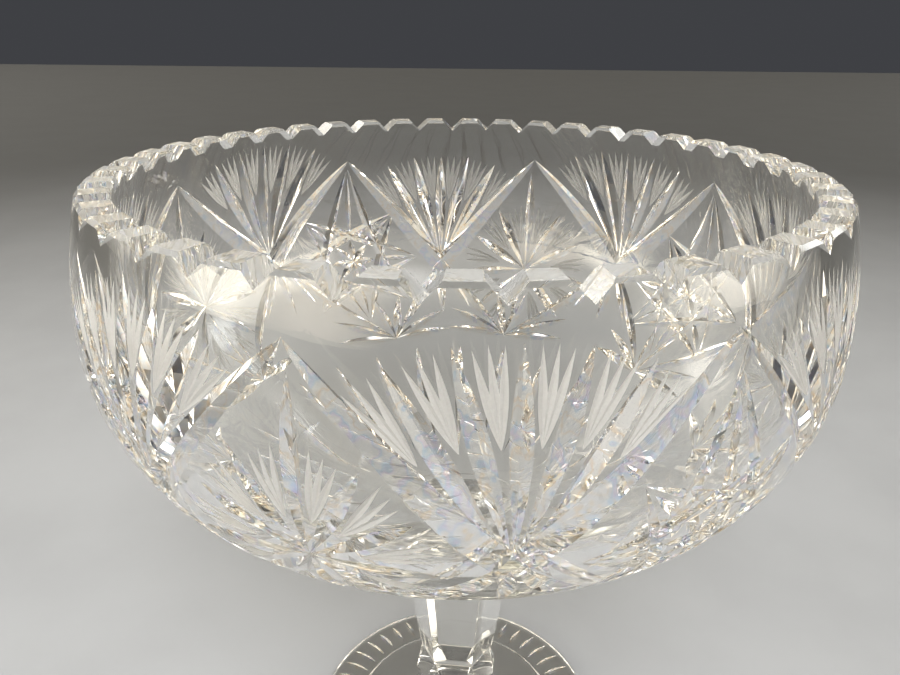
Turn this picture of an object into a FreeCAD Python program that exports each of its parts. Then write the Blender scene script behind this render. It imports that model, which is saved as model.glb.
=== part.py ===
"""Footed punch bowl in cut lead crystal: a deep bowl with a toothed rim, joined by a
collar to a six-sided stem, which stands through a faceted knop on a round foot.

Millimetres. +Z is up, and the origin is the centre of the foot's resting ring.
The pieces are hot-joined glass: they meet on flat ground faces and nothing moves.
"""
import FreeCAD, Part
import math
import os

Vector = FreeCAD.Vector
UP = Vector(0, 0, 1)
CENTRE = Vector(0, 0, 0)

# ---- bowl: outer outline is base sphere, straight cone, belly arc, upper wall arc ----
RIM_HEIGHT = 253.0        # top of the rim teeth above the table
BELLY_HEIGHT = 211.0      # height of the widest ring, and of all the outline's arc centres
BASE_RADIUS = 105.0       # sphere that forms the underside
BELLY_OFFSET = 56.0       # distance of the belly arc's centre from the axis
BELLY_RADIUS = 69.0       # widest outer radius is BELLY_OFFSET + BELLY_RADIUS = 125
UPPER_RADIUS = 150.0      # arc of the wall above the widest ring, leaning slightly inwards
WALL = 9.5                # glass thickness in the wall
BASE_THICKNESS = 12.0     # glass thickness in the bottom
RIM_BEVEL = 1.0           # polished bevel on both edges of the rim

# ---- rim teeth ----
TOOTH_COUNT = 43
NOTCH_DEPTH = 4.6
NOTCH_ANGLE = 90.0        # included angle of the cutting wheel's edge
NOTCH_FIRST = -93.0       # direction of one notch, degrees from +X

# ---- foot ----
FOOT_RADIUS = 62.3
FOOT_EDGE = 4.5           # thickness at the edge
FOOT_EDGE_ROUND = 1.2
FOOT_SHOULDER_RADIUS = 25.0
FOOT_SHOULDER_HEIGHT = 9.0
FOOT_TOP_RADIUS = 15.5
FOOT_TOP_HEIGHT = 22.0
RING_INNER_RADIUS = 45.5  # the resting ring runs from here to the edge
FOOT_RECESS = 1.2         # depth of the polished recess inside the resting ring
RAY_COUNT = 48            # wheel cuts across the resting ring
RAY_DEPTH = 0.9
RAY_LENGTH = 14.0
RAY_WHEEL_ANGLE = 110.0

# ---- knop, stem and collar: six-sided, corners at the same directions ----
SIDES = 6
CORNER_ANGLE = -5.0       # direction of one stem corner, degrees from +X
KNOP_TOP_HEIGHT = 44.0
KNOP_END_RADIUS = 14.6    # to the corners
KNOP_WAIST_RADIUS = 19.6  # of each crossed bulge, which leaves 17.5 to the facets they share
STEM_BOTTOM_RADIUS = 15.9
STEM_TOP_RADIUS = 23.9
COLLAR_RADIUS = 26.0
COLLAR_THICKNESS = 5.0
PAD_RADIUS = 24.0         # flat ground under the bowl, where the collar joins


def point(radius, height):
    return Vector(radius, 0, height)


def arc_point(centre, radius, angle):
    """Point on an outline arc; angle is in radians from straight down."""
    return centre + Vector(radius * math.sin(angle), 0, -radius * math.cos(angle))


def arc(centre, radius, start, end):
    middle = (start + end) / 2
    return Part.Arc(*[arc_point(centre, radius, angle) for angle in (start, middle, end)]).toShape()


def line(start, end):
    return Part.LineSegment(start, end).toShape()


def revolved(edges):
    """Solid of revolution about Z from a closed chain of edges in the XZ plane."""
    wire = Part.Wire(edges)
    return Part.Face(wire).revolve(CENTRE, UP, 360)


def around(tool, count, first_angle):
    """Copies of a tool spaced evenly round Z, as one compound."""
    copies = []
    for index in range(count):
        copy = tool.copy()
        copy.rotate(CENTRE, UP, first_angle + index * 360 / count)
        copies.append(copy)
    return Part.makeCompound(copies)


def wall_outline(inset, base_inset, start_radius, top_height):
    """Base arc, cone, belly arc and upper arc of one side of the bowl's wall.

    Returns the edges in order from the bottom up, with the first and last points.
    """
    axis_centre = point(0, BELLY_HEIGHT)
    belly_centre = point(BELLY_OFFSET, BELLY_HEIGHT)
    upper_centre = point(BELLY_OFFSET + BELLY_RADIUS - UPPER_RADIUS, BELLY_HEIGHT)
    base_radius = BASE_RADIUS - base_inset
    belly_radius = BELLY_RADIUS - inset
    upper_radius = UPPER_RADIUS - inset

    start_angle = math.asin(start_radius / base_radius)
    cone_angle = math.asin((base_radius - belly_radius) / BELLY_OFFSET)
    top_angle = math.pi / 2 + math.asin((top_height - BELLY_HEIGHT) / upper_radius)

    edges = [
        arc(axis_centre, base_radius, start_angle, cone_angle),
        line(arc_point(axis_centre, base_radius, cone_angle),
             arc_point(belly_centre, belly_radius, cone_angle)),
        arc(belly_centre, belly_radius, cone_angle, math.pi / 2),
        arc(upper_centre, upper_radius, math.pi / 2, top_angle),
    ]
    first = arc_point(axis_centre, base_radius, start_angle)
    last = arc_point(upper_centre, upper_radius, top_angle)
    return edges, first, last


def pad_height():
    """Height of the flat under the bowl."""
    return BELLY_HEIGHT - math.sqrt(BASE_RADIUS**2 - PAD_RADIUS**2)


def rim_notch():
    """Radial V-shaped bar, pointing along +X, that cuts one notch between two teeth."""
    slope = math.tan(math.radians(NOTCH_ANGLE / 2))
    bottom = RIM_HEIGHT - NOTCH_DEPTH
    top = RIM_HEIGHT + 2
    half_width = (top - bottom) * slope
    inner = BELLY_OFFSET + BELLY_RADIUS - 4 * WALL
    corners = [
        Vector(inner, 0, bottom),
        Vector(inner, half_width, top),
        Vector(inner, -half_width, top),
        Vector(inner, 0, bottom),
    ]
    return Part.Face(Part.makePolygon(corners)).extrude(Vector(5 * WALL, 0, 0))


def make_bowl():
    bevel_start = RIM_HEIGHT - RIM_BEVEL
    outer, pad_edge, outer_top = wall_outline(0, 0, PAD_RADIUS, bevel_start)
    inner, inner_bottom, inner_top = wall_outline(WALL, BASE_THICKNESS, 0, bevel_start)
    outer_land = point(outer_top.x - RIM_BEVEL, RIM_HEIGHT)
    inner_land = point(inner_top.x + RIM_BEVEL, RIM_HEIGHT)
    pad_centre = point(0, pad_height())
    closing = [
        line(pad_centre, pad_edge),
        line(outer_top, outer_land),
        line(outer_land, inner_land),
        line(inner_land, inner_top),
        line(inner_bottom, pad_centre),
    ]
    blank = revolved(Part.__sortEdges__(outer + inner + closing))
    return blank.cut(around(rim_notch(), TOOTH_COUNT, NOTCH_FIRST))


def hexagon(radius, height, turn):
    """Closed six-sided wire; radius is to its corners."""
    corners = []
    for index in range(SIDES + 1):
        angle = math.radians(CORNER_ANGLE + turn + index * 360 / SIDES)
        corners.append(Vector(radius * math.cos(angle), radius * math.sin(angle), height))
    return Part.makePolygon(corners)


def taper(low_radius, low_height, high_radius, high_height, turn=0):
    """Six-sided solid with flat tapering sides."""
    wires = [hexagon(low_radius, low_height, turn), hexagon(high_radius, high_height, turn)]
    return Part.makeLoft(wires, True, True)


def make_stem():
    return taper(STEM_BOTTOM_RADIUS, KNOP_TOP_HEIGHT, STEM_TOP_RADIUS, pad_height() - COLLAR_THICKNESS)


def make_knop():
    """Two crossed six-sided bulges; what they share has twelve facets above and below."""
    middle = (FOOT_TOP_HEIGHT + KNOP_TOP_HEIGHT) / 2
    flat_to_corner = 1 / math.cos(math.pi / SIDES)
    bulges = []
    for turn, end, waist in (
        (0, KNOP_END_RADIUS, KNOP_WAIST_RADIUS),
        (180 / SIDES, KNOP_END_RADIUS * flat_to_corner, KNOP_WAIST_RADIUS),
    ):
        lower = taper(end, FOOT_TOP_HEIGHT, waist, middle, turn)
        upper = taper(waist, middle, end, KNOP_TOP_HEIGHT, turn)
        bulges.append(lower.fuse(upper))
    return bulges[0].common(bulges[1]).removeSplitter()


def make_collar():
    """Round disc of glass with a half-round edge."""
    edge_radius = COLLAR_THICKNESS / 2
    bottom = pad_height() - COLLAR_THICKNESS
    edge_centre = point(COLLAR_RADIUS - edge_radius, bottom + edge_radius)
    low = arc_point(edge_centre, edge_radius, 0)
    high = arc_point(edge_centre, edge_radius, math.pi)
    return revolved([
        line(point(0, bottom), low),
        arc(edge_centre, edge_radius, 0, math.pi),
        line(high, point(0, pad_height())),
        line(point(0, pad_height()), point(0, bottom)),
    ])


def ray_wheel():
    """Cutting wheel sunk into the underside of the resting ring, along +X."""
    wheel_radius = (RAY_LENGTH**2 / 4 + RAY_DEPTH**2) / (2 * RAY_DEPTH)
    half_width = wheel_radius * math.tan(math.radians(RAY_WHEEL_ANGLE / 2))
    ring_middle = (RING_INNER_RADIUS + FOOT_RADIUS) / 2
    hub = Vector(ring_middle, 0, RAY_DEPTH - wheel_radius)
    sides = []
    for direction in (1, -1):
        sides.append(Part.makeCone(wheel_radius, 0, half_width, hub, Vector(0, direction, 0)))
    return sides[0].fuse(sides[1])


def make_foot():
    """Flat round foot whose top sweeps up in a hollow curve to the knop."""
    round_low = point(FOOT_RADIUS - FOOT_EDGE_ROUND, FOOT_EDGE_ROUND)
    round_high = point(FOOT_RADIUS - FOOT_EDGE_ROUND, FOOT_EDGE - FOOT_EDGE_ROUND)
    shoulder = point(FOOT_SHOULDER_RADIUS, FOOT_SHOULDER_HEIGHT)
    top_edge = point(FOOT_TOP_RADIUS, FOOT_TOP_HEIGHT)
    hollow = point(FOOT_TOP_RADIUS + 2.6, FOOT_SHOULDER_HEIGHT + 4.4)
    blank = revolved([
        line(point(0, FOOT_RECESS), point(RING_INNER_RADIUS - FOOT_RECESS, FOOT_RECESS)),
        line(point(RING_INNER_RADIUS - FOOT_RECESS, FOOT_RECESS), point(RING_INNER_RADIUS, 0)),
        line(point(RING_INNER_RADIUS, 0), arc_point(round_low, FOOT_EDGE_ROUND, 0)),
        arc(round_low, FOOT_EDGE_ROUND, 0, math.pi / 2),
        line(arc_point(round_low, FOOT_EDGE_ROUND, math.pi / 2),
             arc_point(round_high, FOOT_EDGE_ROUND, math.pi / 2)),
        arc(round_high, FOOT_EDGE_ROUND, math.pi / 2, math.pi),
        line(arc_point(round_high, FOOT_EDGE_ROUND, math.pi), shoulder),
        Part.Arc(shoulder, hollow, top_edge).toShape(),
        line(top_edge, point(0, FOOT_TOP_HEIGHT)),
        line(point(0, FOOT_TOP_HEIGHT), point(0, FOOT_RECESS)),
    ])
    half_pitch = 180 / RAY_COUNT
    return blank.cut(around(ray_wheel(), RAY_COUNT, half_pitch))


PIECES = {
    "bowl": make_bowl,
    "collar": make_collar,
    "stem": make_stem,
    "knop": make_knop,
    "foot": make_foot,
}

os.makedirs("parts", exist_ok=True)
for name, make in PIECES.items():
    shape = make()
    if len(shape.Solids) != 1 or not shape.isValid():
        raise ValueError(f"{name} is not one valid solid")
    solid = shape.Solids[0]
    solid.exportStep(f"parts/{name}.step")
    box = solid.optimalBoundingBox()
    print(f"{name}: {solid.Volume / 1000:.1f} cm3, z {box.ZMin:.2f} to {box.ZMax:.2f}, x to {box.XMax:.2f}")
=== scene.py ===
import math
import random

import bmesh
import bpy
import numpy as np
from mathutils import Matrix, Vector


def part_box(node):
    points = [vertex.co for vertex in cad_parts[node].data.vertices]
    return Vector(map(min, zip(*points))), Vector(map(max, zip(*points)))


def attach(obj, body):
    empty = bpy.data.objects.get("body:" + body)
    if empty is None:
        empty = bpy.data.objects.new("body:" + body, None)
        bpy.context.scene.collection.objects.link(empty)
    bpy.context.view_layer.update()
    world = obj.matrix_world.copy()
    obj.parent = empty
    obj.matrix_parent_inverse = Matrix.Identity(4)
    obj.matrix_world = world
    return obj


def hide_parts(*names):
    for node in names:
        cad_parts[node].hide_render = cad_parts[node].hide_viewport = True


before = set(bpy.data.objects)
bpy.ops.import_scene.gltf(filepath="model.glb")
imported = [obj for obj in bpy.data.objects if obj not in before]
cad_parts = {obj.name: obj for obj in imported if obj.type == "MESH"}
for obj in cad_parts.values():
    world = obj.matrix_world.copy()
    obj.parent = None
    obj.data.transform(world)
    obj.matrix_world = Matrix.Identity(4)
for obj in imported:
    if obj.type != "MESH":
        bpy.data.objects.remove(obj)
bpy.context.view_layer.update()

# ---- bowl blank, metres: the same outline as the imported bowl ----
RIM_HEIGHT = float(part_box("bowl")[1][2])
PAD_HEIGHT = float(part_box("bowl")[0][2])
BELLY_HEIGHT = 0.211
BELLY_OFFSET = 0.056
BELLY_RADIUS = 0.069
BASE_RADIUS = 0.105
UPPER_RADIUS = 0.150
WALL = 0.0095
BASE_THICKNESS = 0.012
RIM_BEVEL = 0.001
PAD_RADIUS = 0.024      # ground flat for the collar
PAD_LIP = 0.0005        # plain glass between the joint and the pad's edge
AROUND = 252            # blank vertices round the axis
OUTER_ROW_STEP = 0.0022     # between the blank's rows of vertices
INNER_ROW_STEP = 0.00352
FACET_ANGLE = 14        # degrees between faces from which an edge shows as an edge
WALL_ANGLE = 6          # degrees within which a face counts as uncut wall

# ---- rim teeth ----
TOOTH_COUNT = 43
NOTCH_DEPTH = 0.0046
NOTCH_UNEVENNESS = (-0.0004, 0.0003)
NOTCH_FIRST = -93.0     # degrees from +X
NOTCH_REACHES = (0.100, 0.115, 0.130)   # radii along a notch, from inside the rim to outside
# The teeth were spaced by hand. Each row: degrees of wander, waves round the rim, and their lag.
NOTCH_WANDER = ((1.8, 1, 44), (0.8, 2, -22))

# ---- cut pattern: eight diamonds, each with a fan after it ----
# Each place is (bearing in degrees, distance below the rim along the wall). The pattern was
# laid out by eye, so the eight repeats wander a little.
# Columns: diamond's peak, its sunburst or star, its lowest corner, and the next fan's root.
REPEATS = (
    ((-107.4, 0.0135), (-106.8, 0.0705), (-107.4, 0.113), (-84.1, 0.0665)),
    ((-60.8, 0.0135), (-60.2, 0.0705), (-60.8, 0.113), (-38.3, 0.0655)),
    ((-15.9, 0.0140), (-15.9, 0.0690), (-15.9, 0.113), (6.5, 0.0650)),
    ((29.0, 0.0160), (29.0, 0.0690), (29.0, 0.113), (51.0, 0.0650)),
    ((73.3, 0.0185), (74.0, 0.0755), (75.8, 0.114), (95.2, 0.0725)),
    ((117.2, 0.0185), (117.4, 0.0700), (111.5, 0.115), (138.0, 0.0610)),
    ((161.5, 0.0155), (161.5, 0.0690), (161.5, 0.113), (184.2, 0.0640)),
    ((207.0, 0.0140), (207.0, 0.0690), (207.0, 0.113), (229.8, 0.0650)),
)
ARM_END = (0.005, 0.006)        # how far an arm runs past the fan's root, across and down
ARM_BOW = 0.0013
ARM_RISE = 0.6                  # power by which an arm's depth builds up
ARM_STOP = 0.06                 # share of its length in which it ends
LOWER_ARM_START = (0.001, 0.001)
FAN_RAYS = (-2, -1, 0, 1, 2)
FAN_GAPS = (-2.5, -1.5, -0.5, 0.5, 1.5, 2.5)
FAN_PITCH = 14.5                # degrees between a fan's rays
FAN_START = -0.002
FAN_REACH = 0.055               # middle ray; the next ones are longer
FAN_REACH_STEP = 0.0013
FAN_BLADE_HEEL = (0.031, 0.0015)    # in the middle, and added per ray away from it
FAN_BLADE_STEP = 0.0010
FAN_BLADE_SPREAD = 3.6          # degrees between the three blades in a gap
SIDE_BLADE_SHORTER = 0.0005
BURST_RAYS = ((0, 0.0505), (28, 0.0345), (59, 0.0315), (97, 0.034), (138, 0.032), (180, 0.034))
BURST_START = -0.001
BURST_BLADE_HEEL = 0.013
BURST_BLADE_REACH = 0.033
BURST_BLADE_SPREAD = 6
BURST_BLADE_STEP = 0.001
STAR_POINTS = 8
STAR_SKIP = 3                   # each line of the star joins a point to the third one on
STAR_REACH = 0.0335
STAR_TOP_REACH = 0.048
VEIN_START = 0.0125             # short rays inside the star's points
VEIN_GAP = 0.004
ROSETTE_SPAN = (-0.0005, 0.0115)
CORNER_RAYS = ((16, 0.026), (64, 0.034), (84, 0.030))
CORNER_START = -0.001
UNDER_FAN_DIRECTIONS = (180, 152, -152)
UNDER_FAN_SPAN = (0.002, 0.030)
UNDERSIDE_RAYS = 24
UNDERSIDE_DROP = 0.128
UNDERSIDE_SPAN = (0.006, -0.050)

# ---- kinds of cut ----
# Depth, run of the left and right flank for each unit of depth, and how far along it is deepest.
ARM = (0.0027, (2.6, 0.95), 0.75)
LOWER_ARM = (0.0022, (1.1, 1.1), 0.5)
FAN_RAY = (0.0023, (1.15, 1.15), 0.62)
FAN_BLADE = (0.00054, (2.0, 2.0), 0.46)
BURST_RAY = (0.0021, (1.15, 1.15), 0.58)
BURST_BLADE = (0.00052, (2.0, 2.0), 0.45)
STAR_LINE = (0.0020, (1.15, 1.15), 0.5)
STAR_VEIN = (0.0013, (1.15, 1.15), 0.5)
ROSETTE_RAY = (0.0016, (1.15, 1.15), 0.5)
CORNER_RAY = (0.0019, (1.15, 1.15), 0.5)
UNDERSIDE_RAY = (0.0019, (1.15, 1.15), 0.4)
ARM_STEPS = 30          # lengths that a cut is made of
LONG_STEPS = 22
SHORT_STEPS = 12
CLEARANCE = 0.0015      # how far a cutting bar stands above the surface
END_LIFT = 0.00003      # lifts a cut's pointed ends just clear of the glass

# ---- foot, knop, stem and collar ----
FOOT_RADIUS = 0.0623
FOOT_EDGE = 0.0045
FOOT_EDGE_ROUND = 0.0012
FOOT_SHOULDER = (0.025, 0.009)
FOOT_HOLLOW = (0.0181, 0.0134)
FOOT_TOP = (0.0155, 0.022)
RING_INNER_RADIUS = 0.0455
FOOT_RECESS = 0.0012
FOOT_RAY_COUNT = 48
FOOT_RAY_SPAN = (0.0469, 0.0609)
FOOT_RAY = (0.0006, (2.4, 2.4), 0.5)
FOOT_RAY_POINTS = 15
FOOT_HUB = 0.002        # first row's radius, near the axis
FOOT_AROUND = 4 * FOOT_RAY_COUNT
# Rows of vertices on the foot's recess, resting ring, slope and hollow curve.
RECESS_ROWS, RING_ROWS, SLOPE_ROWS, HOLLOW_ROWS = 16, 8, 14, 16
ROUND_STEP = 15         # degrees between rows on the rounded edges
CORNER_ANGLE = -5.0     # degrees from +X to a corner of the stem
KNOP_TOP = 0.044
KNOP_END_RADIUS = 0.0146
KNOP_WAIST_RADIUS = 0.0196
KNOP_EDGE = 0.00025     # softening of the knop's edges
LEVEL = 0.99            # a face whose normal stands steeper than this is one of the knop's ends
STEM_BOTTOM_RADIUS = 0.0159
STEM_TOP_RADIUS = 0.0239
STEM_AROUND = 72
STEM_ROWS = 9
COLLAR_RADIUS = 0.026
COLLAR_THICKNESS = 0.005
COLLAR_LIP = 0.0006     # plain glass between the joint's corners and the stem's outline
COLLAR_AROUND = 144

# ---- camera: place in metres, lens in millimetres, angles in radians ----
CAMERA_PLACE = (0, -0.2593, 0.3021)
CAMERA_LENS = 30.77
CAMERA_FALL = 0.4071    # below level
CAMERA_YAW = -0.0151    # to the left of straight ahead, so negative
CAMERA_ROLL = 0.009

# ---- glass ----
CRYSTAL_IOR = 1.545
GROUND_WHITE = (0.60, 0.60, 0.60, 1)
CLEAR_TINT = (0.99, 0.99, 0.985, 1)
# painted fire: spectral tints put into the cut facets' glass colour, standing in for the crystal's
# dispersion of light
PAINTED_FIRE_COLOURS = (
    (0.42, CLEAR_TINT),
    (0.45, (1.0, 0.88, 0.74, 1)),
    (0.48, CLEAR_TINT),
    (0.56, CLEAR_TINT),
    (0.59, (0.74, 0.87, 1.0, 1)),
    (0.62, (0.92, 0.85, 1.0, 1)),
    (0.65, CLEAR_TINT),
)

# ---- studio ----
LIGHT_BOUNCES = 48      # light runs a long way inside cut glass
FLOOR_SIZE = 8
FLOOR_DROP = 0.0003     # a hair below the foot, so that the glass and the floor don't share a face
FLOOR_COLOUR = (0.35, 0.365, 0.395, 1)
FLOOR_PAINTED_SHADE = (0.3, 1.6)        # radii between which painted shade darkens the floor's colour
# share of the floor's colour left beyond the painted shade's outer radius
FLOOR_FAR_PAINTED_SHADE = 0.15
WORLD_COLOUR = (0.05, 0.052, 0.058)
WALL_GLOW = (0.78, 0.72, 0.59)  # the room's lit walls, above the horizon
WALL_RISE = (0.07, 0.22)        # sines of the heights between which the walls light up
CEILING_FADE = (0.6, 0.9)       # and between which they fade towards the ceiling
CEILING_SHARE = 0.15
AIM = Vector((0, 0, 0.17))      # what every light faces
LIGHT_DISTANCE = 6
# Round soft lights far off: (bearing, height), (full, fading) radius in degrees, radiance, colour.
ROUND_LIGHTS = (
    ((204, 10), (6, 20), 7.0, (1.0, 0.94, 0.80)),
    ((165, 18), (6, 26), 3.0, (1.0, 0.94, 0.82)),
    ((-14, 14), (6, 24), 6.0, (1.0, 0.93, 0.80)),
    ((38, 24), (3, 12), 5.0, (0.95, 0.98, 1.0)),
    ((128, 26), (3, 12), 4.5, (1.0, 0.96, 0.90)),
    ((-60, 50), (4, 18), 2.5, (1.0, 0.98, 0.95)),
    ((-128, 12), (8, 24), 2.5, (1.0, 0.88, 0.70)),
)
# Softboxes in front of the bowl, for matt surfaces: place, size, radiance, colour.
SOFTBOXES = (
    ((0.05, -0.72, 0.90), (0.42, 0.42), 20.0, (1.0, 0.98, 0.94)),
    ((-0.75, -0.10, 0.80), (0.30, 0.30), 6.0, (1.0, 0.97, 0.92)),
)

SURFACE, MITRE, FROST, BOND = range(4)
dice = random.Random(7)


class Wall:
    """One side of the bowl's wall as a curve from the rim down to the axis.

    inset and base_inset are how far it lies behind the outside, in the wall and in the base;
    top is the rim's height.
    """

    def __init__(self, inset, base_inset, top):
        self.base = BASE_RADIUS - base_inset
        self.belly = BELLY_RADIUS - inset
        self.upper = UPPER_RADIUS - inset
        self.upper_centre = BELLY_OFFSET + BELLY_RADIUS - UPPER_RADIUS
        self.cone = math.asin((self.base - self.belly) / BELLY_OFFSET)
        self.top_angle = math.asin((top - BELLY_HEIGHT) / self.upper)
        self.spans = (
            self.upper * self.top_angle,
            self.belly * (math.pi / 2 - self.cone),
            BELLY_OFFSET * math.cos(self.cone),
            self.base * self.cone,
        )
        self.length = sum(self.spans)

    def point(self, drop):
        """Radius, height and outward slope angle at a distance below the rim."""
        upper_span, belly_span, cone_span, _ = self.spans
        if drop < upper_span:
            angle = math.pi / 2 + self.top_angle - drop / self.upper
            return self.on_arc(self.upper_centre, self.upper, angle)
        drop -= upper_span
        if drop < belly_span:
            return self.on_arc(BELLY_OFFSET, self.belly, math.pi / 2 - drop / self.belly)
        drop -= belly_span
        if drop < cone_span:
            radius, height, angle = self.on_arc(BELLY_OFFSET, self.belly, self.cone)
            return radius - drop * math.cos(angle), height - drop * math.sin(angle), angle
        drop -= cone_span
        return self.on_arc(0, self.base, max(self.cone - drop / self.base, 0))

    @staticmethod
    def on_arc(centre, radius, angle):
        return centre + radius * math.sin(angle), BELLY_HEIGHT - radius * math.cos(angle), angle

    def normals(self, points):
        """Smooth outward normals at points on this side of the wall."""
        radius = np.hypot(points[:, 0], points[:, 1])
        fall = BELLY_HEIGHT - points[:, 2]
        about_belly = np.arctan2(radius - BELLY_OFFSET, fall)
        about_axis = np.arctan2(radius, fall)
        about_upper = np.arctan2(radius - self.upper_centre, fall)
        angle = np.where(about_belly > self.cone, about_belly, self.cone)
        angle = np.where(about_axis < self.cone, about_axis, angle)
        angle = np.where(fall < 0, about_upper, angle)
        turn = np.arctan2(points[:, 1], points[:, 0])
        flat = np.sin(angle)
        return np.stack([flat * np.cos(turn), flat * np.sin(turn), -np.cos(angle)], axis=1)


OUTER = Wall(0, 0, RIM_HEIGHT)
INNER = Wall(WALL, BASE_THICKNESS, RIM_HEIGHT)


# ---------------------------------------------------------------- meshes

def mesh_object(name, vertices, faces, materials, face_materials):
    """New object; face_materials holds each face's place in the list of materials."""
    mesh = bpy.data.meshes.new(name)
    mesh.from_pydata([tuple(vertex) for vertex in vertices], [], faces)
    for material in materials:
        mesh.materials.append(material)
    mesh.polygons.foreach_set("material_index", face_materials)
    mesh.update()
    piece = bpy.data.objects.new(name, mesh)
    bpy.context.scene.collection.objects.link(piece)
    return piece


def ring(radius, height, sides=0, count=AROUND):
    """Closed ring of points, round or six-sided; radius is to the corners."""
    turn = np.arange(count) * 2 * math.pi / count
    reach = np.full(count, radius)
    if sides:
        pitch = 2 * math.pi / sides
        off_middle = np.mod(turn - math.radians(CORNER_ANGLE), pitch) - pitch / 2
        reach = radius * math.cos(pitch / 2) / np.cos(off_middle)
    return np.stack([reach * np.cos(turn), reach * np.sin(turn), np.full(count, height)], axis=1)


def lathe(name, rings, caps, materials):
    """Closed solid from rings ordered up the outside and back down the inside.

    Both end rings are capped with a fan to their centres; caps holds the two caps'
    material indices, and all other faces are plain surface.
    """
    count = len(rings[0])
    last = (len(rings) - 1) * count
    vertices = [point for loop in rings for point in loop]
    faces, indices = [], []
    for low in range(0, last, count):
        for k in range(count):
            after = (k + 1) % count
            faces.append((low + k, low + after, low + count + after, low + count + k))
            indices.append(SURFACE)
    for start, index, order in ((0, caps[0], -1), (last, caps[1], 1)):
        hub = len(vertices)
        vertices.append(rings[start // count].mean(axis=0))
        for k in range(count):
            pair = (start + k, start + (k + 1) % count)
            faces.append((hub, *pair[::order]))
            indices.append(index)
    return mesh_object(name, vertices, faces, materials, indices)


def groove(points, normals, depths, flanks):
    """Closed three-cornered bar along a path: the shape that a V-edged wheel removes.

    depths are below the surface; flanks are the run of the left and right flank
    for each unit of depth.
    """
    points, normals = np.asarray(points), np.asarray(normals)
    along = np.gradient(points, axis=0)
    side = np.cross(normals, along)
    side /= np.linalg.norm(side, axis=1)[:, None]
    depths = np.asarray(depths)[:, None]
    top = points + normals * CLEARANCE
    keel = points - normals * depths
    left = top + side * (depths + CLEARANCE) * flanks[0]
    right = top - side * (depths + CLEARANCE) * flanks[1]
    vertices = np.stack([keel, left, right], axis=1).reshape(-1, 3)
    faces = [(2, 1, 0)]
    for here in range(0, len(vertices) - 3, 3):
        there = here + 3
        for a, b in ((0, 1), (1, 2), (2, 0)):
            faces.append((here + a, here + b, there + b, there + a))
    last = len(vertices) - 3
    faces.append((last + 1, last + 2, last))
    return vertices, faces


def joined(bars):
    """Several separate bars as one list of vertices and one of faces."""
    vertices, faces = [], []
    for bar_vertices, bar_faces in bars:
        start = len(vertices)
        vertices.extend(bar_vertices)
        faces.extend(tuple(start + corner for corner in face) for face in bar_faces)
    return vertices, faces


def cut(piece, batches):
    """Subtracts batches of (bars, material index); bars in one batch never touch."""
    cutters = []
    for bars, index in batches:
        vertices, faces = joined(bars)
        cutter = mesh_object("cutter", vertices, faces, piece.data.materials, [index] * len(faces))
        modifier = piece.modifiers.new("cut", "BOOLEAN")
        modifier.operation = "DIFFERENCE"
        modifier.solver = "MANIFOLD"
        modifier.object = cutter
        cutters.append(cutter)
    graph = bpy.context.evaluated_depsgraph_get()
    result = bpy.data.meshes.new_from_object(piece.evaluated_get(graph), depsgraph=graph)
    piece.modifiers.clear()
    blank, piece.data = piece.data, result
    bpy.data.meshes.remove(blank)
    for cutter in cutters:
        bpy.data.meshes.remove(cutter.data)


def smooth(piece, degrees=20):
    """Smooth shading, with an edge left sharp where its faces meet at more than an angle."""
    piece.data.polygons.foreach_set("use_smooth", [True] * len(piece.data.polygons))
    piece.data.set_sharp_from_angle(angle=math.radians(degrees))


# ---------------------------------------------------------------- single cuts

def lens(share, deepest):
    """Depth share along a cut that is pointed at both ends."""
    return np.sin(math.pi * share ** (math.log(0.5) / math.log(deepest)))


def swell(share, deepest):
    """Depth share of a cut that deepens quickly from its start, then ends abruptly."""
    return np.minimum((share / deepest) ** ARM_RISE, (1 - share) / ARM_STOP).clip(0, 1)


def wall_path(origin, start, end, bow, steps):
    """Shares, points and normals on the outer wall along a line near a motif's centre.

    origin is the centre's (bearing, drop); start and end are (sideways, up) offsets
    from it; bow pushes the middle up.
    """
    shares = np.linspace(0, 1, steps + 1)
    points, normals = [], []
    for share in shares:
        across = start[0] + (end[0] - start[0]) * share
        up = start[1] + (end[1] - start[1]) * share + 4 * bow * share * (1 - share)
        radius, height, slope = OUTER.point(origin[1] - up)
        turn = math.radians(origin[0]) + across / radius
        outward = Vector((math.cos(turn), math.sin(turn), 0))
        points.append(outward * radius + Vector((0, 0, height)))
        normals.append(outward * math.sin(slope) - Vector((0, 0, math.cos(slope))))
    return shares, points, normals


def cut_bar(origin, start, end, kind, shape=lens, bow=0.0, steps=LONG_STEPS):
    """Bar for one cut of a kind, between two (sideways, up) offsets from a motif's centre."""
    depth, flanks, deepest = kind
    shares, points, normals = wall_path(origin, start, end, bow, steps)
    return groove(points, normals, depth * shape(shares, deepest) - END_LIFT, flanks)


def polar(direction, reach):
    """(sideways, up) offset; direction is degrees clockwise from straight up."""
    angle = math.radians(direction)
    return reach * math.sin(angle), reach * math.cos(angle)


def ray(centre, direction, span, kind, steps=LONG_STEPS):
    """Straight cut away from a motif's centre; span is its first and last distance from it."""
    return cut_bar(centre, polar(direction, span[0]), polar(direction, span[1]), kind, steps=steps)


def offset(origin, target):
    """(sideways, up) from one (bearing, drop) to another."""
    turn = math.radians(math.remainder(target[0] - origin[0], 360))
    return turn * OUTER.point(target[1])[0], origin[1] - target[1]


# ---------------------------------------------------------------- bowl pattern

def neighbours():
    """Each repeat with the one after it, all the way round."""
    return zip(REPEATS, REPEATS[1:] + REPEATS[:1])


def fans():
    """Each fan's root and how much wider than an eighth of the way round its space is."""
    for before, after in neighbours():
        yield before[3], ((after[0][0] - before[0][0]) % 360) / 45


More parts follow.
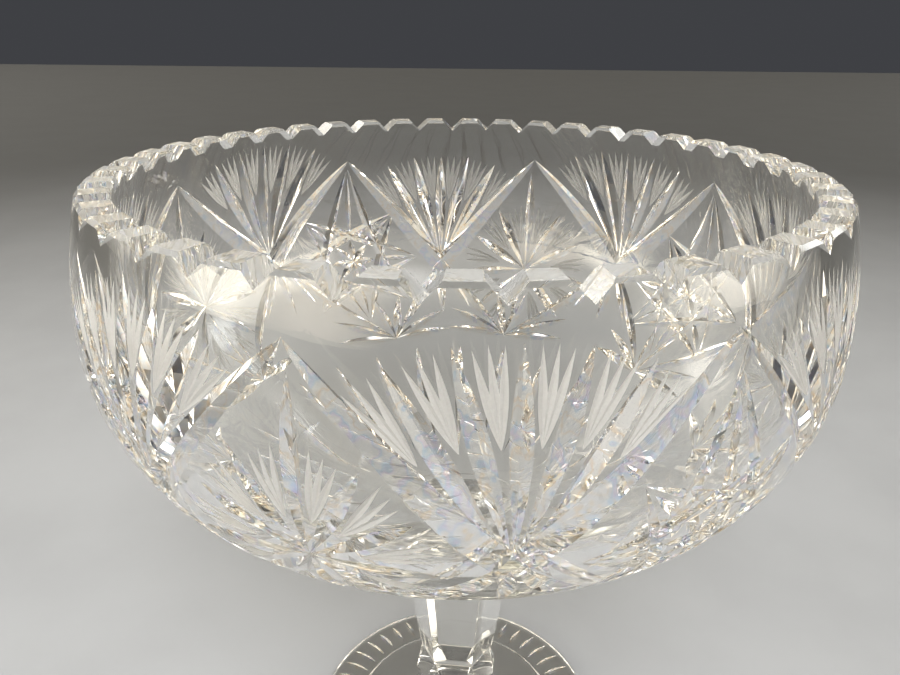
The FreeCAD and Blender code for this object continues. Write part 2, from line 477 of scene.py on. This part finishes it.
def arm_batches():
    """The zigzag: wide mitres from each peak to the fans beside it and on down."""
    batches = []
    for side in (-1, 1):
        depth, flanks, deepest = ARM
        arm = (depth, flanks[::side], deepest)
        past_root = (-side * ARM_END[0], -ARM_END[1])
        lower_start = (-side * LOWER_ARM_START[0], LOWER_ARM_START[1])
        upper, lower = [], []
        for before, after in neighbours():
            root = before[3]
            peak, _, corner, _ = after if side > 0 else before
            to_peak = offset(root, peak)
            upper.append(cut_bar(root, to_peak, past_root, arm, swell, ARM_BOW, ARM_STEPS))
            lower.append(cut_bar(root, lower_start, offset(root, corner), LOWER_ARM))
        batches.append((upper, MITRE))
        batches.append((lower, MITRE))
    return batches


def fan_ray_batches():
    """Five polished rays in each fan, longer towards the sides."""
    batches = []
    for place in FAN_RAYS:
        span = (FAN_START, FAN_REACH + FAN_REACH_STEP * abs(place))
        bars = [ray(root, place * FAN_PITCH * stretch, span, FAN_RAY) for root, stretch in fans()]
        batches.append((bars, MITRE))
    return batches


def fan_blade_batches():
    """Three matt blades in every gap between a fan's rays and arms."""
    batches = []
    for lean in (-1, 0, 1):
        bars = []
        for root, stretch in fans():
            for gap in FAN_GAPS:
                aim = gap * FAN_PITCH * stretch
                heel = polar(aim, FAN_BLADE_HEEL[0] + FAN_BLADE_HEEL[1] * abs(gap))
                reach = FAN_REACH + FAN_BLADE_STEP * abs(gap) - SIDE_BLADE_SHORTER * abs(lean)
                tip = polar(aim + lean * FAN_BLADE_SPREAD, reach)
                bars.append(cut_bar(root, heel, tip, FAN_BLADE, steps=SHORT_STEPS))
        batches.append((bars, FROST))
    return batches


def burst_batches(centres):
    """Sunburst: a tall ray up to the peak, shorter ones all round, and blades between."""
    batches = []
    for direction, reach in BURST_RAYS:
        for side in (1, -1) if 0 < direction < 180 else (1,):
            span = (BURST_START, reach)
            bars = [ray(centre, side * direction, span, BURST_RAY) for centre in centres]
            batches.append((bars, MITRE))
    for lean in (-1, 0, 1):
        bars = []
        for (low, _), (high, _) in zip(BURST_RAYS, BURST_RAYS[1:]):
            aim = (low + high) / 2
            for side in (1, -1):
                heel = polar(side * aim, BURST_BLADE_HEEL)
                reach = BURST_BLADE_REACH - BURST_BLADE_STEP * lean
                tip = polar(side * (aim + lean * BURST_BLADE_SPREAD), reach)
                for centre in centres:
                    bars.append(cut_bar(centre, heel, tip, BURST_BLADE, steps=SHORT_STEPS))
        batches.append((bars, FROST))
    return batches


def star_reach(index):
    return STAR_TOP_REACH if index % STAR_POINTS == 0 else STAR_REACH


def star_point(index):
    return polar(index * 360 / STAR_POINTS, star_reach(index))


def star_batches(centres):
    """Eight-pointed star of crossing mitres round a small rosette."""
    batches = []
    for index in range(STAR_POINTS):
        ends = star_point(index), star_point(index + STAR_SKIP)
        batches.append(([cut_bar(centre, *ends, STAR_LINE) for centre in centres], MITRE))
    for index in range(STAR_POINTS):
        aim = index * 360 / STAR_POINTS
        vein_span = (VEIN_START, star_reach(index) - VEIN_GAP)
        for span, kind in ((vein_span, STAR_VEIN), (ROSETTE_SPAN, ROSETTE_RAY)):
            bars = [ray(centre, aim, span, kind, SHORT_STEPS) for centre in centres]
            batches.append((bars, MITRE))
    return batches


def base_batches():
    """Rays spreading from each diamond's foot and under each fan, and a star underneath."""
    batches = []
    for direction, reach in CORNER_RAYS:
        for aim in (direction, -direction):
            span = (CORNER_START, reach)
            bars = [ray(corner, aim, span, CORNER_RAY) for _, _, corner, _ in REPEATS]
            batches.append((bars, MITRE))
    for direction in UNDER_FAN_DIRECTIONS:
        bars = [ray(root, direction, UNDER_FAN_SPAN, CORNER_RAY) for root, _ in fans()]
        batches.append((bars, MITRE))
    for odd in (0, 1):
        bars = []
        for index in range(odd, UNDERSIDE_RAYS, 2):
            origin = (index * 360 / UNDERSIDE_RAYS, UNDERSIDE_DROP)
            bars.append(ray(origin, 0, UNDERSIDE_SPAN, UNDERSIDE_RAY))
        batches.append((bars, MITRE))
    return batches


def rim_batch():
    """V-shaped bars that cut the notches between the rim's teeth."""
    bars = []
    for index in range(TOOTH_COUNT):
        turn = math.radians(NOTCH_FIRST) + index * 2 * math.pi / TOOTH_COUNT
        for degrees, lobes, lag in NOTCH_WANDER:
            turn += math.radians(degrees) * math.sin(lobes * turn + math.radians(lag))
        outward = Vector((math.cos(turn), math.sin(turn), 0))
        depth = NOTCH_DEPTH + dice.uniform(*NOTCH_UNEVENNESS)
        points = [outward * reach + Vector((0, 0, RIM_HEIGHT)) for reach in NOTCH_REACHES]
        bars.append(groove(points, [Vector((0, 0, 1))] * 3, [depth] * 3, (1, 1)))
    return [(bars, SURFACE)]


# ---------------------------------------------------------------- bowl

def blank_rings():
    """Rings of the uncut bowl, from the pad's edge up the outside and down the inside."""
    pad_drop = OUTER.length - BASE_RADIUS * math.asin(PAD_RADIUS / BASE_RADIUS)
    rows = round((pad_drop - RIM_BEVEL) / OUTER_ROW_STEP)
    rings = [ring(PAD_RADIUS - PAD_LIP, PAD_HEIGHT)]
    for drop in np.linspace(pad_drop, RIM_BEVEL, rows + 1):
        rings.append(ring(*OUTER.point(drop)[:2]))
    rings[1][:, 2] = PAD_HEIGHT
    rings.append(ring(OUTER.point(0)[0] - RIM_BEVEL, RIM_HEIGHT))
    rings.append(ring(INNER.point(0)[0] + RIM_BEVEL, RIM_HEIGHT))
    rows = round(INNER.length / INNER_ROW_STEP)
    for drop in np.linspace(RIM_BEVEL, INNER.length, rows + 1)[:-1]:
        rings.append(ring(*INNER.point(drop)[:2]))
    return rings


def fetched(items, name, width=1, kind=float):
    """One property of every item of a mesh, as an array with a row per item."""
    values = np.empty(len(items) * width, dtype=kind)
    items.foreach_get(name, values)
    return values.reshape(-1, width) if width > 1 else values


def set_wall_normals(mesh):
    """Gives the uncut wall the outline's exact normals; facets keep their own."""
    sizes = fetched(mesh.polygons, "loop_total", kind=int)
    face_normals = np.repeat(fetched(mesh.polygons, "normal", 3), sizes, axis=0)
    plain = np.repeat(fetched(mesh.polygons, "material_index", kind=int), sizes) == SURFACE
    points = fetched(mesh.vertices, "co", 3)[fetched(mesh.loops, "vertex_index", kind=int)]
    custom = np.zeros_like(points)
    for side, sign in ((OUTER, 1), (INNER, -1)):
        exact = sign * side.normals(points)
        agrees = (exact * face_normals).sum(axis=1) > math.cos(math.radians(WALL_ANGLE))
        custom[agrees & plain] = exact[agrees & plain]
    mesh.normals_split_custom_set(custom.tolist())


def make_bowl(materials):
    """Turned blank with its rim teeth and wheel-cut pattern."""
    bowl = lathe("cut_bowl", blank_rings(), (BOND, SURFACE), materials)
    centres = [centre for _, centre, _, _ in REPEATS]
    bursts, stars = centres[0::2], centres[1::2]
    cut(bowl, rim_batch() + arm_batches() + fan_ray_batches() + fan_blade_batches()
        + burst_batches(bursts) + star_batches(stars) + base_batches())
    smooth(bowl, FACET_ANGLE)
    set_wall_normals(bowl.data)
    return bowl


# ---------------------------------------------------------------- foot, knop, stem, collar

def arc_points(start, middle, end, count):
    """Points along the circle through three (radius, height) points."""
    (ax, ay), (bx, by), (cx, cy) = start, middle, end
    twice = 2 * (ax * (by - cy) + bx * (cy - ay) + cx * (ay - by))
    a2, b2, c2 = ax**2 + ay**2, bx**2 + by**2, cx**2 + cy**2
    ux = (a2 * (by - cy) + b2 * (cy - ay) + c2 * (ay - by)) / twice
    uy = (a2 * (cx - bx) + b2 * (ax - cx) + c2 * (bx - ax)) / twice
    radius = math.hypot(ax - ux, ay - uy)
    first = math.atan2(ay - uy, ax - ux)
    sweep = math.remainder(math.atan2(cy - uy, cx - ux) - first, 2 * math.pi)
    steps = [first + sweep * k / count for k in range(count + 1)]
    return [(ux + radius * math.cos(angle), uy + radius * math.sin(angle)) for angle in steps]


def foot_outline():
    """(radius, height) points from near the axis out along the bottom and up to the knop."""
    flat_edge = FOOT_RADIUS - FOOT_EDGE_ROUND
    recess_edge = RING_INNER_RADIUS - FOOT_RECESS
    recess = np.linspace(FOOT_HUB, recess_edge, RECESS_ROWS)
    resting_ring = np.linspace(RING_INNER_RADIUS, flat_edge, RING_ROWS)
    outline = [(radius, FOOT_RECESS) for radius in recess]
    outline += [(radius, 0) for radius in resting_ring]
    for height, first in ((FOOT_EDGE_ROUND, -90), (FOOT_EDGE - FOOT_EDGE_ROUND, 0)):
        for turn in range(first, first + 91, ROUND_STEP):
            angle = math.radians(turn)
            outline.append((flat_edge + FOOT_EDGE_ROUND * math.cos(angle),
                            height + FOOT_EDGE_ROUND * math.sin(angle)))
    for share in np.linspace(0.05, 0.95, SLOPE_ROWS):
        outline.append((flat_edge + (FOOT_SHOULDER[0] - flat_edge) * share,
                        FOOT_EDGE + (FOOT_SHOULDER[1] - FOOT_EDGE) * share))
    return outline + arc_points(FOOT_SHOULDER, FOOT_HOLLOW, FOOT_TOP, HOLLOW_ROWS)


def foot_ray(index):
    """Bar for one shallow cut across the resting ring, from below."""
    depth, flanks, deepest = FOOT_RAY
    turn = math.radians((index + 0.5) * 360 / FOOT_RAY_COUNT)
    outward = Vector((math.cos(turn), math.sin(turn), 0))
    points = [outward * reach for reach in np.linspace(*FOOT_RAY_SPAN, FOOT_RAY_POINTS)]
    shares = np.linspace(0, 1, FOOT_RAY_POINTS)
    down = [Vector((0, 0, -1))] * len(points)
    return groove(points, down, depth * lens(shares, deepest) - END_LIFT, flanks)


def make_foot(materials):
    """Foot with its hollow-curved top, recessed underside and ray-cut resting ring."""
    rings = [ring(radius, height, count=FOOT_AROUND) for radius, height in foot_outline()]
    rings.append(ring(KNOP_END_RADIUS, FOOT_TOP[1], sides=6, count=FOOT_AROUND))
    foot = lathe("ray_cut_foot", rings, (SURFACE, BOND), materials)
    cut(foot, [([foot_ray(index) for index in range(FOOT_RAY_COUNT)], MITRE)])
    smooth(foot)
    return foot


def knop_hull(body, middle):
    """Fills an empty bmesh with the knop: six-cornered ends and a twelve-cornered waist."""
    waist = KNOP_WAIST_RADIUS * math.cos(math.pi / 6) / math.cos(math.pi / 12)
    for count, turn, radius, height in (
        (6, 0, KNOP_END_RADIUS, FOOT_TOP[1]),
        (12, 15, waist, middle),
        (6, 0, KNOP_END_RADIUS, KNOP_TOP),
    ):
        for k in range(count):
            angle = math.radians(CORNER_ANGLE + turn + k * 360 / count)
            body.verts.new((radius * math.cos(angle), radius * math.sin(angle), height))
    bmesh.ops.convex_hull(body, input=body.verts)
    bmesh.ops.dissolve_limit(body, angle_limit=math.radians(0.5), verts=body.verts, edges=body.edges)


def make_knop(materials):
    """Two crossed six-sided bulges: twelve facets above the waist and twelve below."""
    middle = (FOOT_TOP[1] + KNOP_TOP) / 2
    body = bmesh.new()
    knop_hull(body, middle)
    sides = [edge for edge in body.edges
             if any(abs(corner.co.z - middle) < KNOP_EDGE for corner in edge.verts)]
    bmesh.ops.bevel(body, geom=sides, offset=KNOP_EDGE, segments=2, affect="EDGES")
    for face in body.faces:
        if abs(face.normal.z) > LEVEL:
            face.material_index = BOND
    mesh = bpy.data.meshes.new("faceted_knop")
    body.to_mesh(mesh)
    body.free()
    for material in materials:
        mesh.materials.append(material)
    knop = bpy.data.objects.new("faceted_knop", mesh)
    bpy.context.scene.collection.objects.link(knop)
    return knop


def make_stem(materials):
    """Tapering six-sided column; its ends are joined glass."""
    top = PAD_HEIGHT - COLLAR_THICKNESS
    rings = [ring(KNOP_END_RADIUS, KNOP_TOP, sides=6, count=STEM_AROUND)]
    for share in np.linspace(0, 1, STEM_ROWS):
        radius = STEM_BOTTOM_RADIUS + (STEM_TOP_RADIUS - STEM_BOTTOM_RADIUS) * share
        height = KNOP_TOP + (top - KNOP_TOP) * share
        rings.append(ring(radius, height, sides=6, count=STEM_AROUND))
    stem = lathe("hexagonal_stem", rings, (BOND, BOND), materials)
    smooth(stem)
    return stem


def make_collar(materials):
    """Round disc with a half-round edge, joined above to the bowl and below to the stem."""
    bottom = PAD_HEIGHT - COLLAR_THICKNESS
    edge = COLLAR_THICKNESS / 2
    rings = [ring(STEM_TOP_RADIUS - COLLAR_LIP, bottom, sides=6, count=COLLAR_AROUND)]
    for turn in range(-90, 91, ROUND_STEP):
        angle = math.radians(turn)
        rings.append(ring(COLLAR_RADIUS - edge + edge * math.cos(angle),
                          bottom + edge + edge * math.sin(angle), count=COLLAR_AROUND))
    collar = lathe("joining_collar", rings, (BOND, BOND), materials)
    smooth(collar)
    return collar


# ---------------------------------------------------------------- materials

def blank_material(name):
    material = bpy.data.materials.new(name)
    material.use_nodes = True
    tree = material.node_tree
    tree.nodes.clear()
    return material, tree


def add_node(tree, kind, links=(), settings=(), **values):
    """A shader node with its settings, its input values and its links from other outputs."""
    node = tree.nodes.new(kind)
    for name, value in settings:
        setattr(node, name, value)
    for name, value in values.items():
        node.inputs[name.replace("_", " ")].default_value = value
    for name, socket in links:
        tree.links.new(socket, node.inputs[name])
    return node


def noise(tree, scale, detail):
    """Noise in the object's own coordinates, in metres."""
    place = add_node(tree, "ShaderNodeTexCoord")
    texture = add_node(tree, "ShaderNodeTexNoise", [("Vector", place.outputs["Object"])],
                       Scale=scale, Detail=detail)
    return texture.outputs["Fac"]


def distance_from_origin(tree):
    place = add_node(tree, "ShaderNodeTexCoord")
    away = add_node(tree, "ShaderNodeVectorMath", [(0, place.outputs["Object"])],
                    [("operation", "LENGTH")])
    return away.outputs["Value"]


def product(tree, first, second):
    node = add_node(tree, "ShaderNodeMath", [(0, first), (1, second)], [("operation", "MULTIPLY")])
    return node.outputs[0]


def spread(tree, socket, low, high, to_low, to_high):
    """Maps a value from one range to another, easing in and out at the ends."""
    ranged = add_node(tree, "ShaderNodeMapRange", [("Value", socket)],
                      [("interpolation_type", "SMOOTHSTEP")],
                      From_Min=low, From_Max=high, To_Min=to_low, To_Max=to_high)
    return ranged.outputs["Result"]


def finish_material(tree, shader):
    add_node(tree, "ShaderNodeOutputMaterial", [("Surface", shader.outputs[0])])


def polished_crystal():
    """Uncut lead crystal: a bright polish with faint smears and a slow ripple in the glass."""
    material, tree = blank_material("polished_crystal")
    polish = spread(tree, noise(tree, 45, 6), 0.45, 0.8, 0.0, 0.02)
    ripple = add_node(tree, "ShaderNodeBump", [("Height", noise(tree, 38, 1))],
                      Strength=0.35, Distance=0.0006)
    glass = add_node(tree, "ShaderNodeBsdfGlass",
                     [("Roughness", polish), ("Normal", ripple.outputs["Normal"])],
                     IOR=CRYSTAL_IOR, Color=CLEAR_TINT)
    finish_material(tree, glass)
    return material


def mitre_crystal():
    """Polished wheel cuts: fine wheel lines, and painted fire: specks of spectral colour in the
    facets, standing in for the crystal's dispersion of light.
    """
    material, tree = blank_material("mitre_crystal")
    # painted fire: noise picks spectral tints for the glass colour in place of real dispersion of
    # light
    painted_fire = add_node(tree, "ShaderNodeValToRGB", [("Fac", noise(tree, 150, 2))])
    ramp = painted_fire.color_ramp
    while len(ramp.elements) > 1:
        ramp.elements.remove(ramp.elements[-1])
    ramp.elements[0].position = 0
    ramp.elements[0].color = CLEAR_TINT
    for position, colour in PAINTED_FIRE_COLOURS:
        ramp.elements.new(position).color = colour
    polish = spread(tree, noise(tree, 320, 3), 0.5, 0.8, 0.0, 0.03)
    glass = add_node(tree, "ShaderNodeBsdfGlass",
                     [("Roughness", polish), ("Color", painted_fire.outputs["Color"])], IOR=CRYSTAL_IOR)
    finish_material(tree, glass)
    return material


def matt_crystal():
    """Blades left as the wheel cut them: ground, grainy glass that scatters light."""
    material, tree = blank_material("matt_cut_crystal")
    grain = noise(tree, 1600, 5)
    rough = spread(tree, grain, 0.3, 0.7, 0.32, 0.50)
    amount = spread(tree, grain, 0.3, 0.7, 0.46, 0.64)
    bump = add_node(tree, "ShaderNodeBump", [("Height", grain)], Strength=0.3, Distance=0.0002)
    normal = bump.outputs["Normal"]
    glass = add_node(tree, "ShaderNodeBsdfGlass", [("Roughness", rough), ("Normal", normal)],
                     IOR=CRYSTAL_IOR, Color=(0.97, 0.97, 0.97, 1))
    white = add_node(tree, "ShaderNodeBsdfDiffuse", [("Normal", normal)], Color=GROUND_WHITE)
    glow = add_node(tree, "ShaderNodeBsdfTranslucent", Color=(0.9, 0.9, 0.9, 1))
    scatter = add_node(tree, "ShaderNodeMixShader",
                       [(1, white.outputs[0]), (2, glow.outputs[0])], Fac=0.45)
    mix = add_node(tree, "ShaderNodeMixShader",
                   [("Fac", amount), (1, glass.outputs[0]), (2, scatter.outputs[0])])
    finish_material(tree, mix)
    return material


def hot_joint():
    """Faces inside a hot joint, where glass meets glass and nothing is seen."""
    material, tree = blank_material("hot_joint")
    finish_material(tree, add_node(tree, "ShaderNodeBsdfTransparent"))
    return material


def floor_material():
    """Pale matt board with a faint mottle, and painted shade that darkens its colour away from the
    bowl.
    """
    material, tree = blank_material("pale_floor")
    mottle = spread(tree, noise(tree, 9, 5), 0.3, 0.7, 0.96, 1.04)
    # painted shade: the board's colour is darkened with distance from the bowl
    shade = spread(tree, distance_from_origin(tree), *FLOOR_PAINTED_SHADE, 1.0, FLOOR_FAR_PAINTED_SHADE)
    colour = add_node(tree, "ShaderNodeHueSaturation", [("Value", product(tree, mottle, shade))],
                      Color=FLOOR_COLOUR)
    board = add_node(tree, "ShaderNodeBsdfPrincipled", [("Base Color", colour.outputs["Color"])],
                     Roughness=0.8)
    finish_material(tree, board)
    return material


def glow_material(name, full, fading, radiance, colour):
    """Clear disc with a light that is brightest at its middle and fades out at its edge."""
    material, tree = blank_material(name)
    glow = spread(tree, distance_from_origin(tree), full, fading, radiance, 0)
    light = add_node(tree, "ShaderNodeEmission", [("Strength", glow)], Color=(*colour, 1))
    clear = add_node(tree, "ShaderNodeBsdfTransparent")
    both = add_node(tree, "ShaderNodeAddShader", [(0, light.outputs[0]), (1, clear.outputs[0])])
    finish_material(tree, both)
    return material


# ---------------------------------------------------------------- studio

def make_floor():
    bpy.ops.mesh.primitive_plane_add(size=FLOOR_SIZE)
    floor = bpy.context.object
    floor.name = "floor"
    floor.location.z = -FLOOR_DROP
    floor.data.materials.append(floor_material())


def make_camera():
    """Close, slightly above the rim, looking down into the bowl."""
    data = bpy.data.cameras.new("camera")
    data.sensor_width = 36
    data.lens = CAMERA_LENS
    data.clip_start = 0.01
    camera = bpy.data.objects.new("camera", data)
    bpy.context.scene.collection.objects.link(camera)
    level = math.cos(CAMERA_FALL)
    aim = Vector((level * math.sin(CAMERA_YAW), level * math.cos(CAMERA_YAW),
                  -math.sin(CAMERA_FALL)))
    turn = aim.to_track_quat("-Z", "Y").to_matrix().to_4x4()
    roll = Matrix.Rotation(CAMERA_ROLL, 4, "Z")
    camera.matrix_world = Matrix.Translation(CAMERA_PLACE) @ turn @ roll
    bpy.context.scene.camera = camera


def studio_world():
    """Dim surroundings, with a soft band of lit wall above the horizon."""
    world = bpy.data.worlds.new("studio")
    world.use_nodes = True
    tree = world.node_tree
    place = add_node(tree, "ShaderNodeTexCoord")
    axes = add_node(tree, "ShaderNodeSeparateXYZ", [("Vector", place.outputs["Generated"])])
    base = spread(tree, axes.outputs["Z"], *WALL_RISE, 0, 1)
    ceiling = spread(tree, axes.outputs["Z"], *CEILING_FADE, 1, CEILING_SHARE)
    walls = add_node(tree, "ShaderNodeVectorMath", [("Scale", product(tree, base, ceiling))],
                     [("operation", "SCALE")])
    walls.inputs[0].default_value = WALL_GLOW
    total = add_node(tree, "ShaderNodeVectorMath", [(1, walls.outputs[0])])
    total.inputs[0].default_value = WORLD_COLOUR
    tree.links.new(total.outputs[0], tree.nodes["Background"].inputs["Color"])
    bpy.context.scene.world = world


def round_light(name, direction, radii, radiance, colour):
    """Round light with a soft edge; the camera doesn't see it directly."""
    bearing, height = (math.radians(angle) for angle in direction)
    level = math.cos(height)
    toward = Vector((level * math.cos(bearing), level * math.sin(bearing), math.sin(height)))
    full, fading = (LIGHT_DISTANCE * math.tan(math.radians(angle)) for angle in radii)
    bpy.ops.mesh.primitive_circle_add(vertices=64, radius=fading, fill_type="NGON")
    disc = bpy.context.object
    disc.name = name
    disc.location = AIM + LIGHT_DISTANCE * toward
    disc.rotation_euler = toward.to_track_quat("Z", "Y").to_euler()
    disc.data.materials.append(glow_material(name, full, fading, radiance, colour))
    disc.visible_camera = False


def softbox(name, place, size, radiance, colour):
    """Rectangular soft light that lights matt surfaces without showing up in the glass."""
    light = bpy.data.lights.new(name, "AREA")
    light.shape = "RECTANGLE"
    light.size, light.size_y = size
    light.energy = radiance * math.pi * size[0] * size[1]
    light.color = colour
    lamp = bpy.data.objects.new(name, light)
    bpy.context.scene.collection.objects.link(lamp)
    lamp.location = place
    lamp.rotation_euler = (AIM - Vector(place)).to_track_quat("-Z", "Y").to_euler()
    lamp.visible_camera = False
    lamp.visible_glossy = False
    lamp.visible_transmission = False


def make_studio():
    make_floor()
    make_camera()
    studio_world()
    for number, row in enumerate(ROUND_LIGHTS):
        round_light(f"round_light_{number + 1}", *row)
    for number, row in enumerate(SOFTBOXES):
        softbox(f"softbox_{number + 1}", *row)
    bpy.context.scene.view_settings.view_transform = "Standard"


# ---------------------------------------------------------------- assembly

def main():
    materials = (polished_crystal(), mitre_crystal(), matt_crystal(), hot_joint())
    for make, node, slot in (
        (make_bowl, "bowl", "cut_crystal"),
        (make_collar, "collar", "clear_crystal"),
        (make_stem, "stem", "clear_crystal"),
        (make_knop, "knop", "clear_crystal"),
        (make_foot, "foot", "clear_crystal"),
    ):
        piece = make(materials)
        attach(piece, "root")
        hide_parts(node)
    make_studio()
    cycles = bpy.context.scene.cycles
    cycles.max_bounces = LIGHT_BOUNCES
    cycles.transmission_bounces = LIGHT_BOUNCES
    cycles.glossy_bounces = LIGHT_BOUNCES
    cycles.transparent_max_bounces = LIGHT_BOUNCES


main()
